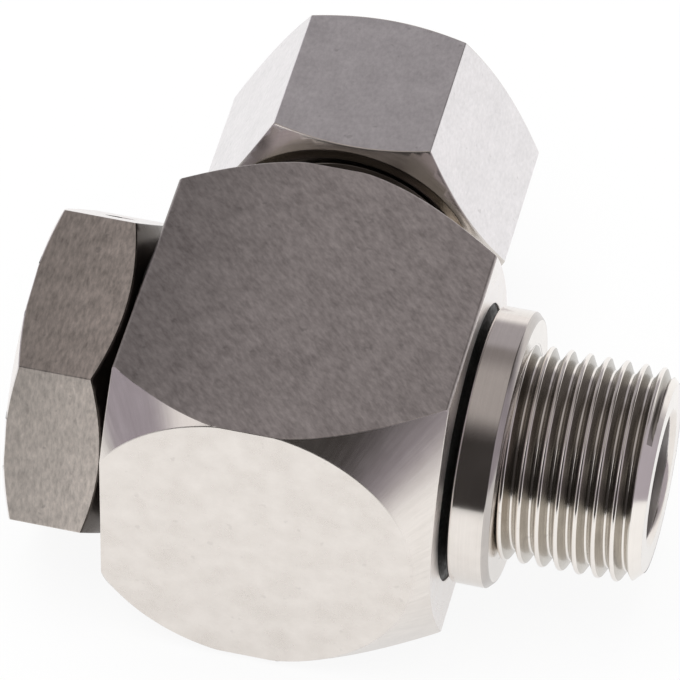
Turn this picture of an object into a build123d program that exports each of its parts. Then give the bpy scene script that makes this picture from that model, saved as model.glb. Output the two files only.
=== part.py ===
from build123d import *
import math
import os

os.makedirs("parts", exist_ok=True)

# Hydraulic rotary union, in millimetres
# X runs along the stem towards the port thread, Y along the tube towards the union nut, Z is up.
# The origin is on the stem axis, in the plane where the collar seats on the port.

# Clearances: pressed or screwed seats, running fits, and free gaps between turned faces
seat_clearance = 0.02
running_clearance = 0.05
free_clearance = 0.3
edge_break = 0.25
hex_sides = 6

# Port end of the stem: thread, bore and the collar that seats on the port
port_thread_diameter = 20.955
port_thread_length = 14.0
port_thread_chamfer = 1.3
flow_bore_diameter = 12.5
flow_bore_countersink = 0.5
collar_height = 2.97
collar_width = 4.0
collar_seat_chamfer = 0.6
collar_gap = 0.7

# Stem diameters behind the collar, each stepped from the sealing journal
journal_diameter = 17.0
shoulder_height = 1.5
left_seat_step = 1.0
tail_step = 0.5
tail_chamfer = 1.0
cross_hole_diameter = 7.0
cross_hole_count = 4
drill_point_angle = 118.0
flow_bore_overrun = 1.7

# Tube channel, fluid groove, sealing lands and the slide rings beside them
channel_diameter = 8.0
channel_margin = 0.2
fluid_groove_depth = 2.7
land_width = 0.8
seal_groove_width = 2.4
seal_ring_thickness = 0.95
seal_ring_side_gap = 0.1
o_ring_squeezed_height = 1.9

# Ball bearings
bearing_width = 5.0
bearing_section = 4.5
bearing_shoulder_land = 1.0
ball_diameter = 3.0
race_gap = 0.1
race_shoulder_height = 0.65
right_ball_count = 14
left_ball_count = 13
cage_wall = 1.1
cage_back_width = 1.9
cage_front_width = 0.6

# Wiper on the port side and dust shield on the other
wiper_section = 3.5
wiper_pocket_depth = 3.4
wiper_bearing_gap = 0.8
wiper_recess = 0.25
wiper_lip_reach = 0.6
wiper_lip_width = 1.2
wiper_body_clearance = 1.4
dust_pocket_depth = 0.8
dust_shield_recess = 0.1

# Housing: bar wall outside the wiper, reach of the two ends from the stem axis, and their cones
housing_wall = 2.5
front_length = 18.1
back_length = 17.2
end_circle_margin = 0.2
end_cone_angle = 45.0

# Hexagon cap on the tail of the stem, with its lock pin
cap_across_flats = 30.0
cap_length = 9.8
cap_gap = 0.5
cap_face_ratio = 0.95
cap_chamfer_angle = 30.0
cap_end_face_ratio = 1.01
cap_end_chamfer_angle = 23.0
cap_flat_direction = 44.2
cap_boss_wall = 1.7
cap_end_wall = 2.6
tail_end_gap = 0.3
lock_pin_diameter = 3.0
lock_pin_recess = 1.2

# Tube spigot with its cone, stepped from the tube
tube_diameter = 15.0
cone_mouth_step = 1.0
cone_half_angle = 12.0
tube_stop_depth = 7.5
tube_stop_step = 1.5
spigot_bore_depth = 13.0
spigot_wall = 2.5
spigot_length = 14.8
spigot_root_depth = 5.0
spigot_neck_depth = 1.2
spigot_neck_width = 2.4
spigot_end_chamfer = 1.0

# Cutting ring
ring_nose_wall = 0.25
ring_cone_stand_off = 0.2
ring_collar_rise = 1.1
ring_collar_width = 1.5
ring_tail_wall = 0.55
ring_back_angle = 45.0

# Union nut
nut_wall = 2.5
nut_gap = 5.1
nut_hole_length = 3.7
nut_face_ratio = 0.955
nut_chamfer_angle = 30.0
nut_flat_direction = 90.0
nut_countersink = 0.8

# Radii along the stem, from the journal outwards and inwards
thread_radius = port_thread_diameter / 2
flow_radius = flow_bore_diameter / 2
collar_radius = thread_radius + collar_height
journal_radius = journal_diameter / 2
shoulder_radius = journal_radius + shoulder_height
left_seat_radius = journal_radius - left_seat_step
tail_radius = left_seat_radius - tail_step
housing_land_radius = journal_radius + free_clearance
fluid_groove_radius = journal_radius + fluid_groove_depth
seal_inner_radius = journal_radius + running_clearance
seal_outer_radius = seal_inner_radius + seal_ring_thickness
seal_groove_radius = seal_outer_radius + o_ring_squeezed_height
right_pocket_radius = journal_radius + bearing_section
left_pocket_radius = left_seat_radius + bearing_section
wiper_radius = shoulder_radius + wiper_section
cap_boss_radius = left_seat_radius + cap_boss_wall
bar_width = 2 * (wiper_radius + housing_wall)
ball_radius = ball_diameter / 2
race_radius = ball_radius + race_gap

# Radii about the tube axis
channel_radius = channel_diameter / 2
tube_socket_radius = tube_diameter / 2 + running_clearance
cone_mouth_radius = tube_diameter / 2 + cone_mouth_step
spigot_bore_radius = tube_diameter / 2 - tube_stop_step
spigot_thread_radius = cone_mouth_radius + spigot_wall
spigot_neck_radius = spigot_thread_radius - spigot_neck_depth
ring_collar_radius = cone_mouth_radius + ring_collar_rise
ring_tail_radius = tube_socket_radius + ring_tail_wall
nut_hole_radius = tube_socket_radius + free_clearance
nut_across_flats = 2 * (spigot_thread_radius + nut_wall)
cone_slope = math.tan(math.radians(cone_half_angle))
cone_length = (cone_mouth_radius - tube_socket_radius) / cone_slope

# Stations along the stem: the housing is as wide as the stack of rings and grooves that it holds
fluid_groove_half = channel_radius + channel_margin
seal_offset = fluid_groove_half + land_width + seal_groove_width / 2
bearing_offset = seal_offset + seal_groove_width / 2 + bearing_shoulder_land
right_face_offset = bearing_offset + bearing_width + wiper_bearing_gap + wiper_pocket_depth
left_face_offset = bearing_offset + bearing_width + dust_pocket_depth
collar_back_x = -collar_width
housing_right_x = collar_back_x - collar_gap
tube_x = housing_right_x - right_face_offset
housing_left_x = tube_x - left_face_offset
right_bearing_x = tube_x + bearing_offset
right_bearing_end_x = right_bearing_x + bearing_width
left_bearing_x = tube_x - bearing_offset
left_bearing_end_x = left_bearing_x - bearing_width
wiper_back_x = housing_right_x - wiper_pocket_depth
wiper_front_x = housing_right_x - wiper_recess
cap_face_x = housing_left_x - cap_gap
cap_end_x = cap_face_x - cap_length
tail_end_x = cap_end_x + cap_end_wall + tail_end_gap
pin_x = (cap_face_x + cap_end_x) / 2

# Stations along the tube, from the stem axis
spigot_end_y = back_length + spigot_length
ring_root_y = spigot_end_y + free_clearance
ring_back_y = ring_root_y + ring_collar_rise + ring_collar_width
nut_underside_y = back_length + nut_gap
nut_shoulder_y = ring_back_y + free_clearance * math.sqrt(2)
nut_hole_y = nut_shoulder_y + ring_collar_radius - nut_hole_radius
nut_end_y = nut_hole_y + nut_hole_length

stem_axis = Axis((0, 0, 0), (1, 0, 0))
tube_axis = Axis((tube_x, 0, 0), (0, 1, 0))
stem_plane = Plane.XY
tube_plane = Plane(origin=(tube_x, 0, 0), x_dir=(1, 0, 0), z_dir=(0, 0, 1))
pin_direction = math.radians(cap_flat_direction)
pin_plane = Plane(origin=(pin_x, 0, 0), z_dir=(0, math.cos(pin_direction), math.sin(pin_direction)))


def turn(plane, axis, points, mode=Mode.ADD):
    """Turn the closed outline through the given plane points about an axis."""
    with BuildSketch(plane) as outline:
        with BuildLine():
            Polyline(*points, close=True)
        make_face()
    revolve(outline.sketch, axis=axis, mode=mode)


def turn_about_stem(points, mode=Mode.ADD):
    """Points are (station along X, radius)."""
    turn(stem_plane, stem_axis, points, mode)


def turn_about_tube(points, mode=Mode.ADD):
    """Points are (radius, station along Y)."""
    turn(tube_plane, tube_axis, points, mode)


def double_cone(inner, start, end, angle, reach):
    """Outline of a bar end-turned to cones: flat ends of the inner radius, cones out to the reach."""
    rise = (reach - inner) * math.tan(math.radians(angle))
    return [(0, start), (inner, start), (reach, start + rise), (reach, end - rise), (inner, end), (0, end)]


def save(builder, name):
    """Label the finished piece and write it to its own file."""
    builder.part.label = name
    export_step(builder.part, f"parts/{name}.step")


# Stem: a spindle drilled from the port end, with cross holes where the tube axis meets it
with BuildPart() as stem:
    bore_end_x = tube_x - cross_hole_diameter / 2 - flow_bore_overrun
    drill_point = flow_radius / math.tan(math.radians(drill_point_angle / 2))
    turn_about_stem([
        (bore_end_x - drill_point, 0),
        (tail_end_x, 0),
        (tail_end_x, tail_radius - tail_chamfer),
        (tail_end_x + tail_chamfer, tail_radius),
        (left_bearing_end_x, tail_radius),
        (left_bearing_end_x, left_seat_radius),
        (left_bearing_x, left_seat_radius),
        (left_bearing_x, journal_radius),
        (right_bearing_end_x, journal_radius),
        (right_bearing_end_x, shoulder_radius),
        (collar_back_x, shoulder_radius),
        (collar_back_x, collar_radius - edge_break),
        (collar_back_x + edge_break, collar_radius),
        (-collar_seat_chamfer, collar_radius),
        (0, collar_radius - collar_seat_chamfer),
        (0, thread_radius),
        (port_thread_length - port_thread_chamfer, thread_radius),
        (port_thread_length, thread_radius - port_thread_chamfer),
        (port_thread_length, flow_radius + flow_bore_countersink),
        (port_thread_length - flow_bore_countersink, flow_radius),
        (bore_end_x, flow_radius),
    ])
    with Locations(Plane.YZ.offset(tube_x)):
        with PolarLocations(0, cross_hole_count):
            Cylinder(
                radius=cross_hole_diameter / 2,
                height=journal_diameter,
                rotation=(0, 90, 0),
                align=(Align.CENTER, Align.CENTER, Align.MIN),
                mode=Mode.SUBTRACT,
            )
    with BuildSketch(pin_plane):
        Circle(lock_pin_diameter / 2 + seat_clearance)
    extrude(amount=journal_radius, both=True, mode=Mode.SUBTRACT)
save(stem, "stem")


# Hexagon cap: screwed over the tail, its boss clamps the left bearing
with BuildPart() as hex_cap:
    cap_reach = cap_across_flats / math.sqrt(3) + free_clearance
    cap_face_radius = cap_across_flats / 2 * cap_face_ratio
    cap_end_radius = cap_across_flats / 2 * cap_end_face_ratio
    cap_face_slope = math.tan(math.radians(cap_chamfer_angle))
    cap_end_slope = math.tan(math.radians(cap_end_chamfer_angle))
    with BuildSketch(Plane.YZ.offset(cap_end_x)):
        RegularPolygon(
            radius=cap_across_flats / 2,
            side_count=hex_sides,
            major_radius=False,
            rotation=cap_flat_direction + 180 / hex_sides,
        )
    extrude(amount=cap_length)
    turn_about_stem([
        (cap_end_x, 0),
        (cap_end_x, cap_end_radius),
        (cap_end_x + (cap_reach - cap_end_radius) * cap_end_slope, cap_reach),
        (cap_face_x - (cap_reach - cap_face_radius) * cap_face_slope, cap_reach),
        (cap_face_x, cap_face_radius),
        (cap_face_x, 0),
    ], mode=Mode.INTERSECT)
    turn_about_stem([
        (cap_face_x, 0),
        (left_bearing_end_x, 0),
        (left_bearing_end_x, cap_boss_radius),
        (cap_face_x, cap_boss_radius),
    ])
    turn_about_stem([
        (cap_end_x + cap_end_wall, 0),
        (left_bearing_end_x, 0),
        (left_bearing_end_x, tail_radius + seat_clearance),
        (cap_end_x + cap_end_wall, tail_radius + seat_clearance),
    ], mode=Mode.SUBTRACT)
    with BuildSketch(pin_plane):
        Circle(lock_pin_diameter / 2 + seat_clearance)
    extrude(amount=cap_across_flats, both=True, mode=Mode.SUBTRACT)
save(hex_cap, "hex_cap")

# Lock pin: driven across the cap and the tail, a little below the flats
with BuildPart() as lock_pin:
    with BuildSketch(pin_plane):
        Circle(lock_pin_diameter / 2)
    extrude(amount=cap_across_flats / 2 - lock_pin_recess, both=True)
    chamfer(lock_pin.edges(), length=edge_break)
save(lock_pin, "lock_pin")


# Housing: square bar with coned ends, bored across for the stem and along for the tube
with BuildPart() as housing:
    end_circle_radius = bar_width / 2 + end_circle_margin
    corner_reach = math.hypot(right_face_offset, bar_width / 2) + free_clearance
    with BuildSketch(Plane.XZ.offset(front_length)):
        with Locations((housing_left_x, 0)):
            Rectangle(housing_right_x - housing_left_x, bar_width, align=(Align.MIN, Align.CENTER))
    extrude(amount=-(front_length + back_length))
    chamfer(housing.edges().filter_by(Axis.Y), length=edge_break)
    turn_about_tube(
        double_cone(end_circle_radius, -front_length, back_length, end_cone_angle, corner_reach),
        mode=Mode.INTERSECT,
    )
    # Threaded spigot with its relief neck, standing on the back end
    turn_about_tube([
        (0, back_length - spigot_root_depth),
        (spigot_neck_radius, back_length - spigot_root_depth),
        (spigot_neck_radius, back_length + spigot_neck_width),
        (spigot_thread_radius, back_length + spigot_neck_width + spigot_neck_depth),
        (spigot_thread_radius, spigot_end_y - spigot_end_chamfer),
        (spigot_thread_radius - spigot_end_chamfer, spigot_end_y),
        (0, spigot_end_y),
    ])
    # Cross bore: bearing pockets at both faces, seal grooves and the fluid groove between
    turn_about_stem([
        (housing_left_x, 0),
        (housing_left_x, left_pocket_radius),
        (left_bearing_x, left_pocket_radius),
        (left_bearing_x, housing_land_radius),
        (tube_x - seal_offset - seal_groove_width / 2, housing_land_radius),
        (tube_x - seal_offset - seal_groove_width / 2, seal_groove_radius),
        (tube_x - seal_offset + seal_groove_width / 2, seal_groove_radius),
        (tube_x - seal_offset + seal_groove_width / 2, housing_land_radius),
        (tube_x - fluid_groove_half, housing_land_radius),
        (tube_x - fluid_groove_half, fluid_groove_radius),
        (tube_x + fluid_groove_half, fluid_groove_radius),
        (tube_x + fluid_groove_half, housing_land_radius),
        (tube_x + seal_offset - seal_groove_width / 2, housing_land_radius),
        (tube_x + seal_offset - seal_groove_width / 2, seal_groove_radius),
        (tube_x + seal_offset + seal_groove_width / 2, seal_groove_radius),
        (tube_x + seal_offset + seal_groove_width / 2, housing_land_radius),
        (right_bearing_x, housing_land_radius),
        (right_bearing_x, right_pocket_radius),
        (wiper_back_x, right_pocket_radius),
        (wiper_back_x, wiper_radius),
        (housing_right_x, wiper_radius),
        (housing_right_x, 0),
    ], mode=Mode.SUBTRACT)
    # Tube side: cone mouth, socket down to the tube stop, bore, and the channel to the fluid groove
    turn_about_tube([
        (0, journal_radius),
        (channel_radius, journal_radius),
        (channel_radius, spigot_end_y - spigot_bore_depth),
        (spigot_bore_radius, spigot_end_y - spigot_bore_depth
            + spigot_bore_radius - channel_radius),
        (spigot_bore_radius, spigot_end_y - tube_stop_depth),
        (tube_socket_radius, spigot_end_y - tube_stop_depth),
        (tube_socket_radius, spigot_end_y - cone_length),
        (cone_mouth_radius, spigot_end_y),
        (0, spigot_end_y),
    ], mode=Mode.SUBTRACT)
save(housing, "housing")


def race_ring(center_x, bore_radius, outer_radius, pitch_radius, outer):
    """Ring of a ball bearing, turned about the stem, with the ball groove on its inner or outer side."""
    half = bearing_width / 2
    if outer:
        plain, grooved = outer_radius, pitch_radius + ball_radius - race_shoulder_height
    else:
        plain, grooved = bore_radius, pitch_radius - ball_radius + race_shoulder_height
    side = math.copysign(1, plain - grooved)
    groove_half = math.sqrt(race_radius ** 2 - (pitch_radius - grooved) ** 2)
    groove_bottom = pitch_radius + side * race_radius
    with BuildSketch(stem_plane) as outline:
        with BuildLine():
            Polyline(
                (center_x + groove_half, grooved),
                (center_x + half, grooved),
                (center_x + half, plain - side * edge_break),
                (center_x + half - edge_break, plain),
                (center_x - half + edge_break, plain),
                (center_x - half, plain - side * edge_break),
                (center_x - half, grooved),
                (center_x - groove_half, grooved),
            )
            ThreePointArc(
                (center_x - groove_half, grooved),
                (center_x, groove_bottom),
                (center_x + groove_half, grooved),
            )
        make_face()
    revolve(outline.sketch, axis=stem_axis)


def crown_cage(center_x, pitch_radius, ball_count):
    """One-piece cage: a ring round the ball circle with a pocket for each ball, open at the front."""
    inner = pitch_radius - cage_wall / 2
    outer = pitch_radius + cage_wall / 2
    turn_about_stem([
        (center_x - cage_back_width, inner),
        (center_x - cage_back_width, outer),
        (center_x + cage_front_width, outer),
        (center_x + cage_front_width, inner),
    ])
    with Locations(Plane.YZ.offset(center_x)):
        with PolarLocations(pitch_radius, ball_count):
            Sphere(ball_radius + running_clearance, mode=Mode.SUBTRACT)


# The two bearings, each as an inner race, an outer race, its balls and its cage
bearing_sizes = {
    "right": (right_bearing_x + bearing_width / 2, journal_radius, right_pocket_radius, right_ball_count),
    "left": (left_bearing_x - bearing_width / 2, left_seat_radius, left_pocket_radius, left_ball_count),
}
for side_name, (center_x, seat_radius, pocket_radius, ball_count) in bearing_sizes.items():
    pitch_radius = (seat_radius + pocket_radius) / 2
    with BuildPart() as inner_race:
        race_ring(center_x, seat_radius + seat_clearance, pocket_radius, pitch_radius, outer=False)
    save(inner_race, f"{side_name}_inner_race")
    with BuildPart() as outer_race:
        race_ring(center_x, seat_radius, pocket_radius - seat_clearance, pitch_radius, outer=True)
    save(outer_race, f"{side_name}_outer_race")
    with BuildPart() as balls:
        with Locations(Plane.YZ.offset(center_x)):
            with PolarLocations(pitch_radius, ball_count):
                Sphere(ball_radius)
    save(balls, f"{side_name}_balls")
    with BuildPart() as cage:
        crown_cage(center_x, pitch_radius, ball_count)
    save(cage, f"{side_name}_cage")


# Slide rings with their energiser rings, one pair on each side of the fluid groove
for side_name, center_x in (("right", tube_x + seal_offset), ("left", tube_x - seal_offset)):
    half = seal_groove_width / 2 - seal_ring_side_gap
    with BuildPart() as seal_ring:
        turn_about_stem([
            (center_x - half, seal_inner_radius),
            (center_x + half, seal_inner_radius),
            (center_x + half, seal_outer_radius),
            (center_x - half, seal_outer_radius),
        ])
    save(seal_ring, f"{side_name}_seal_ring")
    cord_radius = o_ring_squeezed_height / 2 - seat_clearance
    cord_center = (seal_groove_radius + seal_outer_radius) / 2
    with BuildPart() as o_ring:
        with BuildSketch(stem_plane):
            with Locations((center_x, cord_center)):
                Circle(cord_radius)
        revolve(axis=stem_axis)
    save(o_ring, f"{side_name}_o_ring")


# Wiper: pressed into the port side face, its lip runs on the stem's shoulder
with BuildPart() as right_wiper:
    body_radius = shoulder_radius + wiper_body_clearance
    lip_radius = shoulder_radius + running_clearance
    rim_radius = wiper_radius - seat_clearance
    turn_about_stem([
        (wiper_back_x, body_radius),
        (wiper_back_x, rim_radius),
        (wiper_front_x, rim_radius),
        (wiper_front_x, body_radius + wiper_lip_reach),
        (wiper_front_x + wiper_lip_reach, lip_radius),
        (wiper_front_x, lip_radius),
        (wiper_front_x - wiper_lip_width, body_radius),
    ])
save(right_wiper, "right_wiper")

# Dust shield: closes the left pocket around the boss of the cap
with BuildPart() as left_dust_shield:
    shield_inner_radius = cap_boss_radius + running_clearance
    shield_outer_radius = left_pocket_radius - seat_clearance
    shield_face_x = housing_left_x + dust_shield_recess
    turn_about_stem([
        (left_bearing_end_x, shield_inner_radius),
        (left_bearing_end_x, shield_outer_radius),
        (shield_face_x, shield_outer_radius),
        (shield_face_x, shield_inner_radius),
    ])
save(left_dust_shield, "left_dust_shield")

# Cutting ring: its nose follows the cone of the spigot, its collar takes the thrust of the nut
with BuildPart() as cutting_ring:
    root_radius = cone_mouth_radius - ring_cone_stand_off
    nose_radius = tube_socket_radius + ring_nose_wall
    nose_y = spigot_end_y - (root_radius - nose_radius) / cone_slope
    tail_rise = (ring_collar_radius - ring_tail_radius) * math.tan(math.radians(ring_back_angle))
    turn_about_tube([
        (tube_socket_radius, nose_y),
        (nose_radius, nose_y),
        (root_radius, spigot_end_y),
        (cone_mouth_radius, ring_root_y),
        (ring_collar_radius, ring_back_y - ring_collar_width),
        (ring_collar_radius, ring_back_y),
        (ring_tail_radius, ring_back_y + tail_rise),
        (tube_socket_radius, ring_back_y + tail_rise),
    ])
save(cutting_ring, "cutting_ring")

# Union nut: hexagon with coned ends, bored for the spigot thread, the ring's back and the tube
with BuildPart() as union_nut:
    nut_corner_radius = nut_across_flats / math.sqrt(3)
    nut_bore_radius = spigot_thread_radius + running_clearance
    relief_radius = ring_collar_radius + free_clearance
    relief_y = ring_back_y - ring_collar_width + free_clearance
    with BuildSketch(Plane(origin=(tube_x, nut_underside_y, 0), x_dir=(1, 0, 0), z_dir=(0, 1, 0))):
        RegularPolygon(
            radius=nut_across_flats / 2,
            side_count=hex_sides,
            major_radius=False,
            rotation=nut_flat_direction + 180 / hex_sides,
        )
    extrude(amount=nut_end_y - nut_underside_y)
    turn_about_tube(
        double_cone(
            nut_across_flats / 2 * nut_face_ratio,
            nut_underside_y,
            nut_end_y,
            nut_chamfer_angle,
            nut_corner_radius + free_clearance,
        ),
        mode=Mode.INTERSECT,
    )
    turn_about_tube([
        (0, nut_underside_y),
        (nut_bore_radius + nut_countersink, nut_underside_y),
        (nut_bore_radius, nut_underside_y + nut_countersink),
        (nut_bore_radius, relief_y),
        (relief_radius, relief_y),
        (relief_radius, nut_shoulder_y - free_clearance),
        (nut_hole_radius, nut_hole_y),
        (nut_hole_radius, nut_end_y - nut_countersink),
        (nut_hole_radius + nut_countersink, nut_end_y),
        (0, nut_end_y),
    ], mode=Mode.SUBTRACT)
save(union_nut, "union_nut")
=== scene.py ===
import math

import bmesh
import bpy
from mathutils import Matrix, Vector


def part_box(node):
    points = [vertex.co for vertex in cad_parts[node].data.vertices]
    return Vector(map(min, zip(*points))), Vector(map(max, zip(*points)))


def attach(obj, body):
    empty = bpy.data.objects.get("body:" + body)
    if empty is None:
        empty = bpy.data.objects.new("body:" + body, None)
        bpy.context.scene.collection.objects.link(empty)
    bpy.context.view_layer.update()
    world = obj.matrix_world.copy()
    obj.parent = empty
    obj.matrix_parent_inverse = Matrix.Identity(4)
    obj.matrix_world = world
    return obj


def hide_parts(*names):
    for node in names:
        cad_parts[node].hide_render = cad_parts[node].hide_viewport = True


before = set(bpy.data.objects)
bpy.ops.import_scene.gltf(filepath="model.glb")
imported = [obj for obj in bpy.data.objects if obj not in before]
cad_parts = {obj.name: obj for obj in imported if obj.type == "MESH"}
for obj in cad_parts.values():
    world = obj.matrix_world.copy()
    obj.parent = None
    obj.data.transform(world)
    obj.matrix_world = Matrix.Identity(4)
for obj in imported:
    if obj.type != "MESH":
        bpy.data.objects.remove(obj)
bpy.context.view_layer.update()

# Places of the main forms, in metres: the stem lies on X and the tube stands on Y
housing_low, housing_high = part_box("housing")
_, stem_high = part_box("stem")
nut_low, nut_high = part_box("union_nut")
cap_low, cap_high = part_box("hex_cap")
tube_x = (nut_low.x + nut_high.x) / 2
tube_axis = Vector((tube_x, 0.0, 0.0))
bench = min(cap_low.z, housing_low.z)
touch = 0.00001

# Port thread, a G 1/2 pipe thread
port_thread_radius = 0.0104775
port_thread_pitch = 0.001814
port_thread_depth = 0.0011616
port_thread_lean = math.radians(27.5)
port_thread_first_turn = math.radians(95)
port_thread_chamfer = 0.0013
port_thread_land = 0.0009
port_thread_end = stem_high.x

# Spigot thread, M22 x 1.5
spigot_thread_radius = 0.011
spigot_thread_pitch = 0.0015
spigot_thread_depth = 0.00092
spigot_thread_lean = math.radians(30)
spigot_thread_first_turn = 0.0
spigot_thread_chamfer = 0.001
spigot_neck_radius = 0.0098
spigot_neck_length = 0.0024
spigot_neck_end = 0.0196
spigot_neck_start = spigot_neck_end - spigot_neck_length - touch
spigot_end = housing_high.y

# Other forms that tell the faces apart
flow_bore_radius = 0.00625
collar_width = 0.004
housing_least_wall = 0.0015
nut_flats_from = 0.0125
cap_flats_from = 0.013
cone_lean = math.radians(45)
cone_tolerance = 0.02

# How much of a face's normal points along an axis
hardly = 0.01
slightly = 0.1
partly = 0.3
half = 0.5
mostly = 0.75
nearly = 0.9
wholly = 0.99

# Mesh detail
edge_break = 0.00011
edge_steps = 2
edge_roundness = 0.5
weld_distance = 0.000002
flat_angle = math.radians(0.4)
sharp_angle = math.radians(20)
steps_per_turn = 144
rounding_steps = 5
bright_root_steps = 2
closing_lip = 5 * touch
texture_reach = 0.05

# Camera, at the place from which the photograph was taken
view_azimuth = math.radians(12.882)
view_elevation = math.radians(47.344)
view_roll = math.radians(1.086)
view_distance = 0.69454
view_target = Vector((-0.018976, 0.005761, 0.004491))
view_lens = 383.29
sensor_width = 36.0

# Steel colours
pale_steel = (0.87, 0.82, 0.775, 1.0)
soft_steel = (0.73, 0.68, 0.635, 1.0)
bright_steel = (0.95, 0.925, 0.93, 1.0)
nut_dark = (0.73, 0.71, 0.715, 1.0)
milled_light = (0.73, 0.675, 0.65, 1.0)
milled_dark = (0.40, 0.365, 0.35, 1.0)
olive_light = (0.86, 0.78, 0.715, 1.0)
olive_dark = (0.40, 0.36, 0.33, 1.0)
# Near black turned end of the cap: painted shade of the gap between the cap and the housing
cap_gap_shade_light = (0.085, 0.074, 0.065, 1.0)
cap_gap_shade_dark = (0.05, 0.043, 0.038, 1.0)
# Seat face of the collar: darker steel as painted shade from the thread beside it
shaded_seat_light = (0.60, 0.56, 0.53, 1.0)
shaded_seat_dark = (0.46, 0.43, 0.41, 1.0)
crest_light = (0.92, 0.875, 0.83, 1.0)
crest_dark = (0.82, 0.775, 0.73, 1.0)
flank_light = (0.66, 0.62, 0.565, 1.0)
flank_dark = (0.45, 0.42, 0.38, 1.0)
# Near black spigot thread and neck: painted shade of the gap between the nut and the housing
spigot_shade_light = (0.26, 0.235, 0.21, 1.0)
spigot_shade_dark = (0.15, 0.135, 0.12, 1.0)
nut_end_light = (0.66, 0.6, 0.52, 1.0)
nut_end_dark = (0.46, 0.41, 0.345, 1.0)
fleck_colour = (0.25, 0.23, 0.22, 1.0)

# Rubber and plastic colours
rubber_light = (0.035, 0.034, 0.033, 1.0)
rubber_dark = (0.016, 0.016, 0.016, 1.0)
slide_light = (0.13, 0.31, 0.29, 1.0)
slide_dark = (0.09, 0.24, 0.23, 1.0)
cage_light = (0.77, 0.72, 0.60, 1.0)
cage_dark = (0.68, 0.62, 0.50, 1.0)

# Sizes of the marks, as noise scales per metre
blotch_scale = 420.0
fine_mark_scale = 5200.0
coarse_mark_scale = 2600.0
rolled_mark_scale = 3000.0
fan_mark_scale = 2200.0
fleck_scale = 900.0
mould_cloud_scale = 400.0
rubber_grain_scale = 3000.0
plastic_grain_scale = 2400.0

# Heights of the marks, in metres
lapped_height = 0.0000006
turned_height = 0.000001
cut_height = 0.000002
cone_height = 0.0000025
cap_turned_height = 0.000003
drilled_height = 0.000004
nut_height = 0.000005
plastic_height = 0.000006
rubber_height = 0.00001
milled_height = 0.00001
rolled_height = 0.00003

# Directions and stretches of the marks
milled_turn = (0.0, 0.0, math.radians(-46))
no_turn = (0.0, 0.0, 0.0)
milled_stretch = (2.4, 1.0, 1.0)
drawn_stretch = (1.0, 2.8, 2.8)
nut_stretch = (1.0, 1.6, 1.0)
fan_mark_stretch = 0.1

# Make-up of the noises, whose values lie about the middle
middle = 0.5
mark_detail = 5.0
mark_harshness = 0.6
blotch_detail = 6.0
fleck_detail = 2.0
fleck_start = 0.68
fleck_end = 0.76
mark_gloss = 0.6
gloss_start = 0.25
gloss_end = 0.75
quarter_turn = 0.25
mould_cloud_detail = 5.0
mould_cloud_start = 0.35
mould_cloud_end = 0.65
mould_grain_detail = 4.0
mould_grain_start = 0.3
mould_grain_end = 0.7

# Sockets of the node that mixes two colours
mix_factor = 0
mix_first = 6
mix_second = 7
mix_result = 2

# Floor
floor_half = 0.17
floor_paint = (0.9, 0.9, 0.9, 1.0)
floor_front_start = -0.19
floor_front_end = -0.06
floor_front_dim = 0.5
floor_left_dim = 0.4
floor_glow_seen = 0.9
floor_glow_mirrored = 0.7

# Colours of the surroundings
horizon_white = (1.0, 0.98, 0.98, 1.0)
wall_grey = (0.40, 0.38, 0.40, 1.0)
side_grey = (0.36, 0.33, 0.375, 1.0)
right_grey = (0.44, 0.405, 0.45, 1.0)
corner_grey = (0.08, 0.072, 0.068, 1.0)
gap_grey = (0.24, 0.22, 0.22, 1.0)
ceiling_grey = (0.40, 0.375, 0.37, 1.0)
card_black = (0.036, 0.032, 0.031, 1.0)
card_white = (1.0, 0.98, 0.98, 1.0)
room_light = (0.85, 0.85, 0.85, 1.0)
backdrop_white = (1.0, 1.0, 1.0, 1.0)

# Soft steps between the walls, in degrees of height or of direction from the front
back_horizon = (0.0, 12.0)
right_horizon = (-9.0, 5.0)
right_wall_step = (56.0, 68.0)
side_wall_step = (-20.0, 20.0)
back_wall_step = (100.0, 130.0)
wall_top = (38.0, 47.0)
ceiling_step = (52.0, 72.0)

# Directions and heights of the cards and the dark corner: start, full from, full to, end
left_card_around = (-62.0, -50.0, -36.0, -28.0)
left_card_height = (14.0, 26.0, 46.0, 60.0)
dark_card_around = (-42.0, -28.0, 40.0, 62.0)
dark_card_height = (-60.0, -40.0, 47.0, 74.0)
dark_corner_around = (104.0, 120.0, 156.0, 166.0)
dark_corner_height = (15.0, 24.0, 52.0, 62.0)

# Lamp
lamp_size = 0.7
lamp_power = 3.0
lamp_place = (-0.12, -0.10, 0.8)
lamp_turn = (math.radians(-7), math.radians(-8), 0.0)


# Camera
def camera_axes():
    """Right, up and backward directions of the camera."""
    level_right = Vector((math.cos(view_azimuth), math.sin(view_azimuth), 0.0))
    back = Vector((
        math.sin(view_azimuth) * math.cos(view_elevation),
        -math.cos(view_azimuth) * math.cos(view_elevation),
        math.sin(view_elevation),
    ))
    level_up = back.cross(level_right)
    right = level_right * math.cos(view_roll) + level_up * math.sin(view_roll)
    up = back.cross(right)
    return right, up, back


def add_camera():
    right, up, back = camera_axes()
    data = bpy.data.cameras.new("camera")
    data.lens = view_lens
    data.sensor_width = sensor_width
    camera = bpy.data.objects.new("camera", data)
    bpy.context.collection.objects.link(camera)
    turn = camera.matrix_world.to_3x3()
    turn.col[0] = right
    turn.col[1] = up
    turn.col[2] = back
    camera.matrix_world = turn.to_4x4()
    camera.location = view_target + back * view_distance
    bpy.context.scene.camera = camera


# Node helpers
def add_node(tree, kind, **settings):
    node = tree.nodes.new(kind)
    for name, value in settings.items():
        setattr(node, name, value)
    return node


def feed(tree, value, socket):
    """Links value to the socket where it is a socket itself, and sets it there otherwise."""
    if isinstance(value, bpy.types.NodeSocket):
        tree.links.new(value, socket)
    else:
        socket.default_value = value


def calculate(tree, operation, *values):
    node = add_node(tree, "ShaderNodeMath", operation=operation)
    for socket, value in zip(node.inputs, values):
        feed(tree, value, socket)
    return node.outputs[0]


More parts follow.
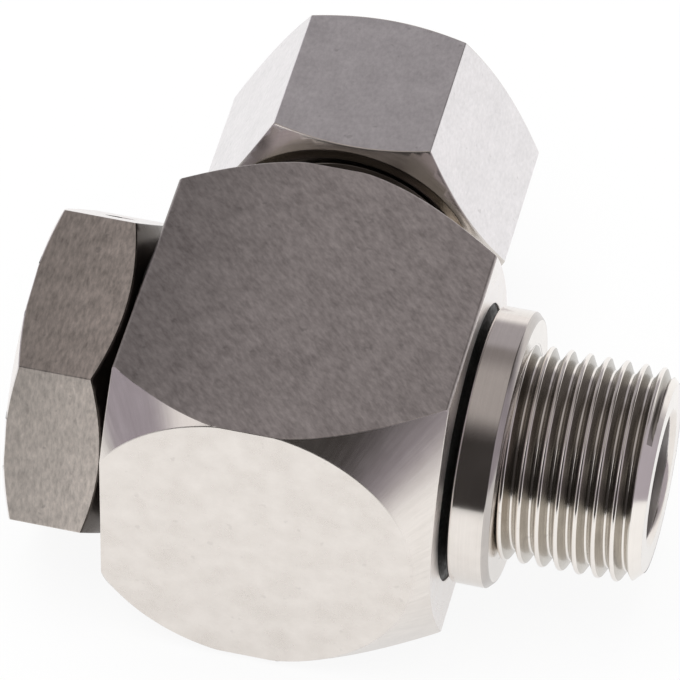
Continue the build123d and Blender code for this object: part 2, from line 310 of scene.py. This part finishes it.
def fade(tree, value, start, end, low=0.0, high=1.0):
    """low up to start, high from end on, and smooth between them."""
    node = add_node(tree, "ShaderNodeMapRange", interpolation_type="SMOOTHSTEP")
    feed(tree, value, node.inputs["Value"])
    feed(tree, start, node.inputs["From Min"])
    feed(tree, end, node.inputs["From Max"])
    feed(tree, low, node.inputs["To Min"])
    feed(tree, high, node.inputs["To Max"])
    return node.outputs[0]


def window(tree, value, start, full_from, full_to, end):
    """1 between full_from and full_to, falling to 0 at start and at end."""
    rise = fade(tree, value, start, full_from)
    fall = fade(tree, value, full_to, end, 1.0, 0.0)
    return calculate(tree, "MULTIPLY", rise, fall)


def swing(tree, value, gain, centre):
    """centre, and gain times what value has above or below the middle."""
    return calculate(tree, "MULTIPLY_ADD", calculate(tree, "SUBTRACT", value, middle), gain, centre)


def blend_colours(tree, factor, first, second):
    node = add_node(tree, "ShaderNodeMix", data_type="RGBA")
    feed(tree, factor, node.inputs[mix_factor])
    feed(tree, first, node.inputs[mix_first])
    feed(tree, second, node.inputs[mix_second])
    return node.outputs[mix_result]


def blend_shaders(tree, factor, first, second):
    node = add_node(tree, "ShaderNodeMixShader")
    for socket, value in zip(node.inputs, (factor, first, second)):
        feed(tree, value, socket)
    return node.outputs[0]


def scale_colour(tree, colour, factor):
    node = add_node(tree, "ShaderNodeVectorMath", operation="SCALE")
    feed(tree, colour, node.inputs[0])
    feed(tree, factor, node.inputs["Scale"])
    return node.outputs[0]


def noise(tree, vector, scale, detail, harshness=0.5):
    node = add_node(tree, "ShaderNodeTexNoise")
    feed(tree, vector, node.inputs["Vector"])
    node.inputs["Scale"].default_value = scale
    node.inputs["Detail"].default_value = detail
    node.inputs["Roughness"].default_value = harshness
    return node.outputs["Fac"]


def parts_of(tree, vector):
    """X, Y and Z of a vector."""
    split = add_node(tree, "ShaderNodeSeparateXYZ")
    feed(tree, vector, split.inputs[0])
    return split.outputs["X"], split.outputs["Y"], split.outputs["Z"]


def vector_of(tree, *parts):
    """A vector from its parts along X, Y and Z, where a part that is left out is zero."""
    join = add_node(tree, "ShaderNodeCombineXYZ")
    for socket, part in zip(join.inputs, parts):
        feed(tree, part, socket)
    return join.outputs[0]


def length_of(tree, first, second):
    """Length of the way over first and then, at a right angle, over second."""
    squared = calculate(tree, "MULTIPLY", first, first)
    return calculate(tree, "SQRT", calculate(tree, "MULTIPLY_ADD", second, second, squared))


def new_material(name):
    material = bpy.data.materials.new(name)
    material.use_nodes = True
    tree = material.node_tree
    shader = tree.nodes["Principled BSDF"]
    return material, tree, shader


# Directions of the machining marks
def local_place(tree):
    return add_node(tree, "ShaderNodeTexCoord").outputs["Object"]


def tube_rings(tree):
    """Marks of turning about the tube axis."""
    x, y, z = parts_of(tree, local_place(tree))
    across = calculate(tree, "SUBTRACT", x, tube_x)
    return vector_of(tree, length_of(tree, across, z), y)


def stem_rings(tree):
    """Marks of turning about the stem axis."""
    x, y, z = parts_of(tree, local_place(tree))
    return vector_of(tree, length_of(tree, y, z), x)


def fan_marks(tree):
    """Marks that run outwards from the tube axis, as on a coned end cut across."""
    x, y, z = parts_of(tree, local_place(tree))
    turn = calculate(tree, "ARCTAN2", calculate(tree, "SUBTRACT", x, tube_x), z)
    around = calculate(tree, "MULTIPLY", turn, housing_high.z)
    outwards = calculate(tree, "MULTIPLY", y, fan_mark_stretch)
    return vector_of(tree, around, outwards)


def straight_marks(tree, turn, stretch):
    """Marks of milling or drawing, stretched along the axes after a turn."""
    node = add_node(tree, "ShaderNodeMapping", vector_type="TEXTURE")
    feed(tree, local_place(tree), node.inputs["Vector"])
    node.inputs["Rotation"].default_value = turn
    node.inputs["Scale"].default_value = stretch
    return node.outputs[0]


def milled_marks(tree):
    return straight_marks(tree, milled_turn, milled_stretch)


def drawn_marks(tree):
    return straight_marks(tree, no_turn, drawn_stretch)


def nut_marks(tree):
    return straight_marks(tree, no_turn, nut_stretch)


def cone_normal(tree):
    """Normal of the 45 degree cones about the tube axis."""
    x, y, z = parts_of(tree, local_place(tree))
    across = calculate(tree, "SUBTRACT", x, tube_x)
    along = calculate(tree, "MULTIPLY", length_of(tree, across, z), calculate(tree, "SIGN", y))
    turned = add_node(
        tree, "ShaderNodeVectorTransform", vector_type="NORMAL", convert_from="OBJECT", convert_to="WORLD"
    )
    feed(tree, vector_of(tree, across, along, z), turned.inputs[0])
    return turned.outputs[0]


# Shades of the pieces, by which their colours are multiplied
def shade_along_stem(tree, start, end, low, high):
    """low up to start along the stem axis, and high from end on."""
    x, _, _ = parts_of(tree, local_place(tree))
    return fade(tree, x, start, end, low, high)


def milled_shade(tree):
    """The milled faces are duller towards the cap."""
    start = housing_low.x - 0.004
    end = tube_x + 0.003
    dull = 0.62
    return shade_along_stem(tree, start, end, dull, 1.0)


def nut_chamfer_painted_light(tree):
    """Painted highlight and painted shade on the turned faces of the nut: brightest a little left of the
    tube axis, darker towards both sides.
    """
    left_end = tube_x - 0.0095
    left_start = tube_x - 0.007
    right_start = tube_x + 0.001
    right_end = tube_x + 0.009
    left_painted_shade = 0.55
    right_painted_shade = 0.75
    bright = 1.1
    left = shade_along_stem(tree, left_end, left_start, left_painted_shade, bright)
    right = shade_along_stem(tree, right_start, right_end, 1.0, right_painted_shade)
    return calculate(tree, "MULTIPLY", left, right)


def nut_end_shade(tree):
    """The end face of the nut is brighter towards the port."""
    end = tube_x + 0.009
    dull = 0.75
    bright = 1.4
    return shade_along_stem(tree, tube_x, end, dull, bright)


def cap_shade(tree):
    """The flats of the cap are duller towards its end face."""
    dull = 0.8
    bright = 1.06
    return shade_along_stem(tree, cap_low.x, cap_high.x, dull, bright)


def bore_painted_shade(tree):
    """Painted shade: the flow bore is darker inwards."""
    start = port_thread_end - 0.0022
    end = port_thread_end - 0.0006
    dark = 0.35
    return shade_along_stem(tree, start, end, dark, 1.0)


def flank_painted_shade(tree):
    """Painted shade: the flanks of the port thread are darker above and behind, and a little brighter below.
    """
    bright_to = -0.0065
    dark_from = -0.0035
    bright = 1.08
    dark = 0.72
    _, y, z = parts_of(tree, local_place(tree))
    return fade(tree, calculate(tree, "ADD", y, z), bright_to, dark_from, bright, dark)


# Metals and moulded materials in general
def add_relief(tree, shader, relief, height, normal=None):
    """Raises the relief by height on the shader's surface."""
    bump = add_node(tree, "ShaderNodeBump")
    bump.inputs["Distance"].default_value = height
    feed(tree, relief, bump.inputs["Height"])
    if normal:
        feed(tree, normal(tree), bump.inputs["Normal"])
    feed(tree, bump.outputs[0], shader.inputs["Normal"])


def add_swirl(tree, shader, swirl, axis):
    """Stretches the gloss across the rings that turning about the axis leaves."""
    shader.inputs["Anisotropic"].default_value = swirl
    shader.inputs["Anisotropic Rotation"].default_value = quarter_turn
    tangent = add_node(tree, "ShaderNodeTangent", direction_type="RADIAL", axis=axis)
    feed(tree, tangent.outputs[0], shader.inputs["Tangent"])


def metal(name, light, dark, roughness, spread, marks, scale, height,
          clouds=1.0, grain=1.0, flecks=0.2, swirl=0.0, axis="Y", shade=None, normal=None):
    """Machined metal: clouds, marks and flecks in its colour, marks in its height and gloss."""
    material, tree, shader = new_material(name)
    fine = noise(tree, marks(tree), scale, mark_detail, mark_harshness)
    blotch = noise(tree, local_place(tree), blotch_scale, blotch_detail)
    cloud = swing(tree, blotch, clouds, middle)
    tone = swing(tree, fine, grain, cloud)
    colour = blend_colours(tree, tone, dark, light)
    fleck = noise(tree, local_place(tree), fleck_scale, fleck_detail)
    fleck_share = fade(tree, fleck, fleck_start, fleck_end, 0.0, flecks)
    colour = blend_colours(tree, fleck_share, colour, fleck_colour)
    if shade:
        colour = scale_colour(tree, colour, shade(tree))
    feed(tree, colour, shader.inputs["Base Color"])
    blotch_gloss = calculate(tree, "MULTIPLY", blotch, 1 - mark_gloss)
    gloss = calculate(tree, "MULTIPLY_ADD", fine, mark_gloss, blotch_gloss)
    rough = fade(tree, gloss, gloss_start, gloss_end, roughness - spread, roughness + spread)
    feed(tree, rough, shader.inputs["Roughness"])
    shader.inputs["Metallic"].default_value = 1.0
    add_relief(tree, shader, fine, height, normal)
    if swirl:
        add_swirl(tree, shader, swirl, axis)
    return material


def moulded(name, light, dark, roughness, spread, scale, height):
    """Rubber or plastic: cloudy colour, with a fine grain in its gloss and height."""
    material, tree, shader = new_material(name)
    grain = noise(tree, local_place(tree), scale, mould_grain_detail)
    cloud = noise(tree, local_place(tree), mould_cloud_scale, mould_cloud_detail)
    cloud_share = fade(tree, cloud, mould_cloud_start, mould_cloud_end)
    feed(tree, blend_colours(tree, cloud_share, dark, light), shader.inputs["Base Color"])
    rough = fade(tree, grain, mould_grain_start, mould_grain_end, roughness - spread, roughness + spread)
    feed(tree, rough, shader.inputs["Roughness"])
    add_relief(tree, shader, grain, height)
    return material


# Top and bottom flats of the housing
milled_steel = metal(
    "milled_steel", milled_light, milled_dark, roughness=0.40, spread=0.07,
    marks=milled_marks, scale=coarse_mark_scale, height=milled_height,
    clouds=0.7, grain=1.8, flecks=0.35, shade=milled_shade,
)

# Side faces of the housing, and the end face and upper back flat of the cap; on that flat the bright steel
# is a painted sheen where it is seen edge on
side_steel = metal(
    "side_steel", bright_steel, pale_steel, roughness=0.30, spread=0.05,
    marks=stem_rings, scale=fine_mark_scale, height=drilled_height,
)

# Front face of the housing
face_steel = metal(
    "face_steel", pale_steel, soft_steel, roughness=0.30, spread=0.05,
    marks=local_place, scale=coarse_mark_scale, height=cut_height,
    clouds=1.6, grain=0.4, flecks=0.12,
)

# Turned faces about the tube
turned_steel = metal(
    "turned_steel", pale_steel, soft_steel, roughness=0.225, spread=0.03,
    marks=tube_rings, scale=fine_mark_scale, height=turned_height,
    flecks=0.05, swirl=0.35,
)

# Coned ends of the housing
cone_steel = metal(
    "cone_steel", pale_steel, soft_steel, roughness=0.2, spread=0.03,
    marks=fan_marks, scale=fan_mark_scale, height=cone_height,
    grain=1.5, flecks=0.05, swirl=0.35, normal=cone_normal,
)

# Chamfers and bore of the nut, with a painted highlight and painted shade
nut_turned_steel = metal(
    "nut_turned_steel", pale_steel, soft_steel, roughness=0.21, spread=0.03,
    marks=tube_rings, scale=fine_mark_scale, height=turned_height,
    flecks=0.05, shade=nut_chamfer_painted_light,
)

# End face of the nut
nut_end_steel = metal(
    "nut_end_steel", nut_end_light, nut_end_dark, roughness=0.22, spread=0.04,
    marks=tube_rings, scale=fine_mark_scale, height=cut_height, shade=nut_end_shade,
)

# Flats of the nut
nut_steel = metal(
    "nut_steel", bright_steel, nut_dark, roughness=0.33, spread=0.05,
    marks=nut_marks, scale=coarse_mark_scale, height=nut_height,
    grain=1.7, flecks=0.25,
)

# Flats of the cap
cap_steel = metal(
    "cap_steel", olive_light, olive_dark, roughness=0.48, spread=0.1,
    marks=drawn_marks, scale=rolled_mark_scale, height=rolled_height,
    clouds=0.9, grain=2.0, flecks=0.4, shade=cap_shade,
)

# Turned end of the cap towards the housing, near black with painted shade of the gap between the cap and the
# housing
cap_gap_shade_steel = metal(
    "cap_gap_shade_steel", cap_gap_shade_light, cap_gap_shade_dark, roughness=0.2, spread=0.05,
    marks=stem_rings, scale=fine_mark_scale, height=cap_turned_height,
)

# Collar and journal of the stem, and the cross bore of the housing
bored_steel = metal(
    "bored_steel", pale_steel, soft_steel, roughness=0.14, spread=0.03,
    marks=stem_rings, scale=fine_mark_scale, height=turned_height,
    flecks=0.08, swirl=0.4, axis="X",
)

# Seat face of the collar, darkened with painted shade from the thread beside it
shaded_seat_steel = metal(
    "shaded_seat_steel", shaded_seat_light, shaded_seat_dark, roughness=0.2, spread=0.03,
    marks=stem_rings, scale=fine_mark_scale, height=lapped_height, flecks=0.08,
)

# Flow bore of the stem, with painted shade inwards
drilled_steel = metal(
    "drilled_steel", bright_steel, pale_steel, roughness=0.42, spread=0.05,
    marks=stem_rings, scale=fine_mark_scale, height=drilled_height, shade=bore_painted_shade,
)

# Crests, roots and end chamfer of the port thread
thread_steel = metal(
    "thread_steel", crest_light, crest_dark, roughness=0.12, spread=0.03,
    marks=stem_rings, scale=fine_mark_scale, height=turned_height,
)

# Flanks of the port thread, with painted shade above and behind
flank_steel = metal(
    "flank_steel", flank_light, flank_dark, roughness=0.22, spread=0.04,
    marks=stem_rings, scale=fine_mark_scale, height=cut_height, shade=flank_painted_shade,
)

# Thread and neck of the spigot, near black with painted shade of the gap between the nut and the housing
spigot_shade_steel = metal(
    "spigot_shade_steel", spigot_shade_light, spigot_shade_dark, roughness=0.2, spread=0.04,
    marks=tube_rings, scale=fine_mark_scale, height=cut_height,
)

# Races, balls and pin
ground_steel = metal(
    "ground_steel", pale_steel, soft_steel, roughness=0.12, spread=0.03,
    marks=stem_rings, scale=fine_mark_scale, height=turned_height,
)

# Dust shield
plate_steel = metal(
    "plate_steel", soft_steel, milled_dark, roughness=0.3, spread=0.05,
    marks=stem_rings, scale=coarse_mark_scale, height=drilled_height,
)

# Wiper and rubber rings
black_rubber = moulded(
    "black_rubber", rubber_light, rubber_dark, roughness=0.5, spread=0.1,
    scale=rubber_grain_scale, height=rubber_height,
)

# Slide rings
slide_plastic = moulded(
    "slide_plastic", slide_light, slide_dark, roughness=0.4, spread=0.08,
    scale=plastic_grain_scale, height=plastic_height,
)

# Ball cages
cage_plastic = moulded(
    "cage_plastic", cage_light, cage_dark, roughness=0.42, spread=0.08,
    scale=plastic_grain_scale, height=plastic_height,
)


# Places on the two axes
def on_stem(along, radius, angle):
    return Vector((along, radius * math.cos(angle), radius * math.sin(angle)))


def on_tube(along, radius, angle):
    return Vector((tube_x + radius * math.sin(angle), along, radius * math.cos(angle)))


def from_stem_axis(point):
    return math.hypot(point.y, point.z)


def from_tube_axis(point):
    return math.hypot(point.x - tube_x, point.z)


# Threads
def thread_form(pitch, depth, lean):
    """Rounded thread form from one crest to the next, as stations along the pitch with their depths."""
    slope = math.tan(lean)
    rounding = (pitch / (2 * slope) - depth) / (2 * math.cos(lean) / slope - 2 * (1 - math.sin(lean)))
    turns = [(math.pi / 2 - lean) * step / rounding_steps for step in range(rounding_steps + 1)]
    crest = [(rounding * math.sin(turn), rounding * (1 - math.cos(turn))) for turn in turns]
    root = [(pitch / 2 - along, depth - drop) for along, drop in reversed(crest)]
    falling = crest + root
    rising = [(pitch - along, drop) for along, drop in reversed(falling)]
    return falling[:-1] + rising[:-1]


def drop_at(along, pitch, form):
    """Depth of the thread form at a station, between the listed ones."""
    place = along % pitch
    for (station, drop), (further, next_drop) in zip(form, form[1:] + [(pitch, 0.0)]):
        if place <= further:
            return drop + (next_drop - drop) * (place - station) / (further - station)
    return 0.0


def add_thread(shell, place, start, end, radius, pitch, form, floor, limit, first_turn,
               smooth_index, flank_index):
    """A helical thread surface between start and end. place turns (along, radius, angle) into a point."""
    crests = set(range(rounding_steps)) | set(range(len(form) - rounding_steps, len(form)))
    roots = set(range(len(form) // 2 - bright_root_steps, len(form) // 2 + bright_root_steps))
    turned = set()
    rings = []
    for turn in range(-1, math.ceil((end - start) / pitch) + 1):
        for station, drop in form:
            ring = []
            for step in range(steps_per_turn + 1):
                share = step / steps_per_turn
                along = start + (turn + share) * pitch + station
                along = min(max(along, start), end)
                cut = max(radius - drop_at(along - start - share * pitch, pitch, form), floor(along))
                reach = min(cut, limit(along))
                corner = shell.verts.new(place(along, reach, first_turn + math.tau * share))
                ring.append(corner)
                if limit(along) < cut + touch:
                    turned.add(corner)
            rings.append(ring)
    for row, (lower, upper) in enumerate(zip(rings, rings[1:])):
        for step in range(steps_per_turn):
            corners = (lower[step], lower[step + 1], upper[step + 1], upper[step])
            near_side = (corners[0].co - corners[3].co).length
            far_side = (corners[1].co - corners[2].co).length
            if max(near_side, far_side) > touch:
                face = shell.faces.new(corners)
                smooth = row % len(form) in crests | roots or turned.issuperset(corners)
                face.material_index = smooth_index if smooth else flank_index


def port_floor(along):
    """The groove runs out before the end of the stem."""
    return port_thread_radius - port_thread_depth + max(along - (port_thread_end - port_thread_land), 0.0)


def port_limit(along):
    """The end chamfer of the port thread."""
    return port_thread_radius - max(along - (port_thread_end - port_thread_chamfer), 0.0)


def spigot_floor(along):
    return spigot_thread_radius - spigot_thread_depth


def spigot_limit(along):
    """The chamfers at both ends of the spigot thread."""
    start = spigot_neck_radius + along - spigot_neck_end
    end = spigot_thread_radius - max(along - (spigot_end - spigot_thread_chamfer), 0.0)
    return min(start, end)


def drop_faces(shell, chosen):
    bmesh.ops.delete(shell, geom=chosen, context="FACES")


def is_plain_port_cylinder(face):
    """True for the faces that the port thread takes the place of."""
    centre = face.calc_center_median()
    least = min(from_stem_axis(corner.co) for corner in face.verts)
    outwards = Vector((0.0, centre.y, centre.z))
    return (
        centre.x > port_thread_chamfer
        and least > port_thread_radius - 2 * port_thread_chamfer + touch
        and face.normal.x < nearly
        and face.normal.dot(outwards) > 0
    )


def is_plain_spigot_cylinder(face):
    """True for the faces that the spigot thread takes the place of."""
    centre = face.calc_center_median()
    least = min(from_tube_axis(corner.co) for corner in face.verts)
    return centre.y > spigot_neck_end and least > spigot_neck_radius - touch and face.normal.y < nearly


def close_to_collar(shell, index):
    """A ring over the gap between the port thread and the collar."""
    inner = port_thread_radius - port_thread_depth - touch
    outer = port_thread_radius + closing_lip
    for step in range(steps_per_turn):
        turn = math.tau * step / steps_per_turn
        further = math.tau * (step + 1) / steps_per_turn
        closing = shell.faces.new([
            shell.verts.new(on_stem(-touch, inner, turn)),
            shell.verts.new(on_stem(-touch, outer, turn)),
            shell.verts.new(on_stem(-touch, outer, further)),
            shell.verts.new(on_stem(-touch, inner, further)),
        ])
        closing.material_index = index


def thread_the_stem(shell, finish):
    drop_faces(shell, [face for face in shell.faces if is_plain_port_cylinder(face)])
    form = thread_form(port_thread_pitch, port_thread_depth, port_thread_lean)
    add_thread(
        shell, on_stem, 0.0, port_thread_end, port_thread_radius, port_thread_pitch, form, port_floor,
        port_limit, port_thread_first_turn, finish.index(thread_steel), finish.index(flank_steel),
    )
    close_to_collar(shell, finish.index(bored_steel))


def thread_the_spigot(shell, finish):
    drop_faces(shell, [face for face in shell.faces if is_plain_spigot_cylinder(face)])
    form = thread_form(spigot_thread_pitch, spigot_thread_depth, spigot_thread_lean)
    add_thread(
        shell, on_tube, spigot_neck_end, spigot_end, spigot_thread_radius, spigot_thread_pitch, form,
        spigot_floor, spigot_limit, spigot_thread_first_turn, finish.index(spigot_shade_steel),
        finish.index(spigot_shade_steel),
    )


# Finishes of the faces of each piece
def is_cone(face):
    """True for the faces of the 45 degree cones, which lie outside the spigot."""
    lean = abs(face.normal.y)
    outside = from_tube_axis(face.calc_center_median()) > spigot_thread_radius
    return abs(lean - math.sin(cone_lean)) < cone_tolerance and outside


def housing_finish(face):
    centre = face.calc_center_median()
    upward = abs(face.normal.z)
    on_flats = abs(centre.z) > housing_high.z - 2 * edge_break
    beside_flats = upward > partly and abs(face.normal.y) < partly
    if on_flats and (upward > mostly or beside_flats):
        return milled_steel
    if abs(face.normal.x) > nearly:
        return side_steel
    if face.normal.y < -mostly:
        return face_steel
    if spigot_neck_start < centre.y and from_tube_axis(centre) < spigot_neck_radius + touch:
        return spigot_shade_steel
    in_housing = from_stem_axis(centre) < housing_high.z - housing_least_wall
    if in_housing and from_tube_axis(centre) > from_stem_axis(centre):
        return bored_steel
    if is_cone(face):
        return cone_steel
    return turned_steel


def nut_finish(face):
    centre = face.calc_center_median()
    if abs(face.normal.y) < hardly and from_tube_axis(centre) > nut_flats_from:
        return nut_steel
    if face.normal.y < -wholly:
        return nut_end_steel
    return nut_turned_steel


def cap_finish(face):
    centre = face.calc_center_median()
    if abs(face.normal.x) < hardly and from_stem_axis(centre) > cap_flats_from:
        # The upper back flat takes the bright side steel: a painted sheen where it is seen edge on
        upper_back = face.normal.y > slightly and face.normal.z > slightly
        return side_steel if upper_back else cap_steel
    if face.normal.x > slightly:
        return cap_gap_shade_steel
    return side_steel


def stem_finish(face):
    centre = face.calc_center_median()
    if from_stem_axis(centre) < flow_bore_radius + touch and abs(face.normal.x) < half:
        return drilled_steel
    on_collar = -collar_width < centre.x < touch and from_stem_axis(centre) > port_thread_radius
    if on_collar and face.normal.x > half:
        return shaded_seat_steel
    return bored_steel


# Finished copies of the outer pieces
def break_edges(shell):
    """Breaks the sharp outer edges, as deburring does, so that they catch the light."""
    shell.normal_update()
    shared = [edge for edge in shell.edges if len(edge.link_faces) == 2]
    sharp = [edge for edge in shared if edge.calc_face_angle() > sharp_angle]
    for edge in sharp:
        edge.smooth = edge.is_convex
    outer = [edge for edge in sharp if edge.is_convex and edge.calc_length() > edge_break]
    broken = bmesh.ops.bevel(
        shell, geom=outer, offset=edge_break, segments=edge_steps, profile=edge_roundness,
        affect="EDGES", clamp_overlap=False,
    )
    return broken["faces"]


def finished_mesh(node, finish, choose, rework):
    """The node's mesh with broken edges, where choose picks each face's material from finish."""
    mesh = bpy.data.meshes.new(node + "_finished")
    for material in finish:
        mesh.materials.append(material)
    shell = bmesh.new()
    shell.from_mesh(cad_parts[node].data)
    bmesh.ops.remove_doubles(shell, verts=shell.verts, dist=weld_distance)
    bmesh.ops.dissolve_limit(shell, angle_limit=flat_angle, verts=shell.verts, edges=shell.edges)
    shell.normal_update()
    for face in shell.faces:
        face.material_index = finish.index(choose(face))
    for face in break_edges(shell):
        face.normal_update()
        face.material_index = finish.index(choose(face))
    if rework:
        rework(shell, finish)
        shell.normal_update()
    for face in shell.faces:
        face.smooth = True
    shell.to_mesh(mesh)
    shell.free()
    mesh.use_auto_texspace = False
    mesh.texspace_location = tube_axis
    mesh.texspace_size = (texture_reach, texture_reach, texture_reach)
    return mesh


def finished(node, body, finish, choose, rework=None):
    """A finished copy of a node, which rides on its body and stands for it."""
    piece = bpy.data.objects.new(node + "_finished", finished_mesh(node, finish, choose, rework))
    bpy.context.collection.objects.link(piece)
    weighted = piece.modifiers.new("even_normals", "WEIGHTED_NORMAL")
    weighted.keep_sharp = True
    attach(piece, body)
    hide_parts(node)


# Pieces that keep their own shape
def dress(name, material):
    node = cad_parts[name]
    node.data.materials.clear()
    node.data.materials.append(material)


def dress_inner_pieces():
    dress("lock_pin", ground_steel)
    dress("cutting_ring", turned_steel)
    dress("right_wiper", black_rubber)
    dress("left_dust_shield", plate_steel)
    for side in ("right_", "left_"):
        dress(side + "inner_race", ground_steel)
        dress(side + "outer_race", ground_steel)
        dress(side + "balls", ground_steel)
        dress(side + "cage", cage_plastic)
        dress(side + "seal_ring", slide_plastic)
        dress(side + "o_ring", black_rubber)


# Floor
def floor_material():
    """Pale paint: white but for the shadow, and in reflections dimmer towards the front and the left."""
    material = bpy.data.materials.new("floor")
    material.use_nodes = True
    tree = material.node_tree
    tree.nodes.clear()
    path = add_node(tree, "ShaderNodeLightPath")
    seen = path.outputs["Is Camera Ray"]
    mirrored = calculate(tree, "MAXIMUM", path.outputs["Is Glossy Ray"], path.outputs["Is Transmission Ray"])

    x, y, _ = parts_of(tree, local_place(tree))
    front_shade = fade(tree, y, floor_front_start, floor_front_end, floor_front_dim, 1.0)
    left_shade = fade(tree, x, tube_x - floor_half, tube_x - floor_half / 2, floor_left_dim, 1.0)
    shaded = calculate(tree, "MULTIPLY", front_shade, left_shade)
    glow = add_node(tree, "ShaderNodeEmission")
    feed(tree, calculate(tree, "MAXIMUM", seen, shaded), glow.inputs["Strength"])

    paint = add_node(tree, "ShaderNodeBsdfDiffuse")
    paint.inputs["Color"].default_value = floor_paint
    seen_share = calculate(tree, "MULTIPLY", seen, floor_glow_seen)
    mirrored_share = calculate(tree, "MULTIPLY", mirrored, floor_glow_mirrored)
    share = calculate(tree, "MAXIMUM", seen_share, mirrored_share)
    surface = blend_shaders(tree, share, paint.outputs[0], glow.outputs[0])

    clear = add_node(tree, "ShaderNodeBsdfTransparent")
    underside = add_node(tree, "ShaderNodeNewGeometry").outputs["Backfacing"]
    output = add_node(tree, "ShaderNodeOutputMaterial")
    feed(tree, blend_shaders(tree, underside, surface, clear.outputs[0]), output.inputs["Surface"])
    return material


def add_floor():
    mesh = bpy.data.meshes.new("floor")
    corners = [
        (tube_x + side * floor_half, end * floor_half, bench)
        for side, end in ((-1, -1), (1, -1), (1, 1), (-1, 1))
    ]
    mesh.from_pydata(corners, [], [range(len(corners))])
    floor = bpy.data.objects.new("floor", mesh)
    bpy.context.collection.objects.link(floor)
    mesh.materials.append(floor_material())


# Surroundings
def card(tree, around, height, sides, rise):
    """1 on a card with soft edges, which spans the directions of sides and the heights of rise."""
    return calculate(tree, "MULTIPLY", window(tree, around, *sides), window(tree, height, *rise))


def studio_colour(tree):
    """Grey walls with a dark card in front, a white one to the left of it and a dark corner at the back."""
    x, y, z = parts_of(tree, add_node(tree, "ShaderNodeTexCoord").outputs["Generated"])
    forward = calculate(tree, "MULTIPLY", y, -1.0)
    height = calculate(tree, "DEGREES", calculate(tree, "ARCSINE", z))
    around = calculate(tree, "DEGREES", calculate(tree, "ARCTAN2", x, forward))
    aside = calculate(tree, "ABSOLUTE", around)

    back_wall = blend_colours(tree, fade(tree, height, *back_horizon), horizon_white, wall_grey)
    right_wall = blend_colours(tree, fade(tree, height, *right_horizon), horizon_white, right_grey)
    right_wall = blend_colours(tree, fade(tree, around, *right_wall_step), right_wall, right_grey)
    side_wall = blend_colours(tree, fade(tree, around, *side_wall_step), side_grey, right_wall)
    shade = blend_colours(tree, fade(tree, aside, *back_wall_step), side_wall, back_wall)
    shade = blend_colours(tree, fade(tree, height, *wall_top), shade, gap_grey)
    shade = blend_colours(tree, fade(tree, height, *ceiling_step), shade, ceiling_grey)

    dark_corner = card(tree, around, height, dark_corner_around, dark_corner_height)
    dark_card = card(tree, around, height, dark_card_around, dark_card_height)
    left_card = card(tree, around, height, left_card_around, left_card_height)
    shade = blend_colours(tree, dark_corner, shade, corner_grey)
    shade = blend_colours(tree, dark_card, shade, card_black)
    return blend_colours(tree, left_card, shade, card_white)


def add_surroundings():
    """The studio, which shows in reflections only, before a white backdrop and in an even light."""
    world = bpy.data.worlds.new("studio")
    bpy.context.scene.world = world
    world.use_nodes = True
    tree = world.node_tree
    tree.nodes.clear()
    path = add_node(tree, "ShaderNodeLightPath")
    mirrored = calculate(tree, "MAXIMUM", path.outputs["Is Glossy Ray"], path.outputs["Is Transmission Ray"])
    light = blend_colours(tree, path.outputs["Is Camera Ray"], room_light, backdrop_white)
    light = blend_colours(tree, mirrored, light, studio_colour(tree))
    background = add_node(tree, "ShaderNodeBackground")
    feed(tree, light, background.inputs["Color"])
    output = add_node(tree, "ShaderNodeOutputWorld")
    feed(tree, background.outputs[0], output.inputs["Surface"])


def add_lamp():
    """A wide soft lamp overhead, which gives the floor the object's soft shadow."""
    data = bpy.data.lights.new("soft_lamp", "AREA")
    data.shape = "SQUARE"
    data.size = lamp_size
    data.energy = lamp_power
    lamp = bpy.data.objects.new("soft_lamp", data)
    lamp.location = lamp_place
    lamp.rotation_euler = lamp_turn
    lamp.visible_glossy = False
    bpy.context.collection.objects.link(lamp)


# Materials of each finished piece
housing_steels = [milled_steel, side_steel, face_steel, cone_steel, turned_steel, bored_steel, spigot_shade_steel]
nut_steels = [nut_steel, nut_turned_steel, nut_end_steel]
cap_steels = [cap_steel, cap_gap_shade_steel, side_steel]
stem_steels = [bored_steel, shaded_seat_steel, drilled_steel, thread_steel, flank_steel]

# Assembly
add_camera()
finished("housing", "housing", housing_steels, housing_finish, rework=thread_the_spigot)
finished("union_nut", "union_nut", nut_steels, nut_finish)
finished("hex_cap", "stem", cap_steels, cap_finish)
finished("stem", "stem", stem_steels, stem_finish, rework=thread_the_stem)
dress_inner_pieces()
add_floor()
add_surroundings()
add_lamp()
bpy.context.scene.view_settings.view_transform = "Standard"
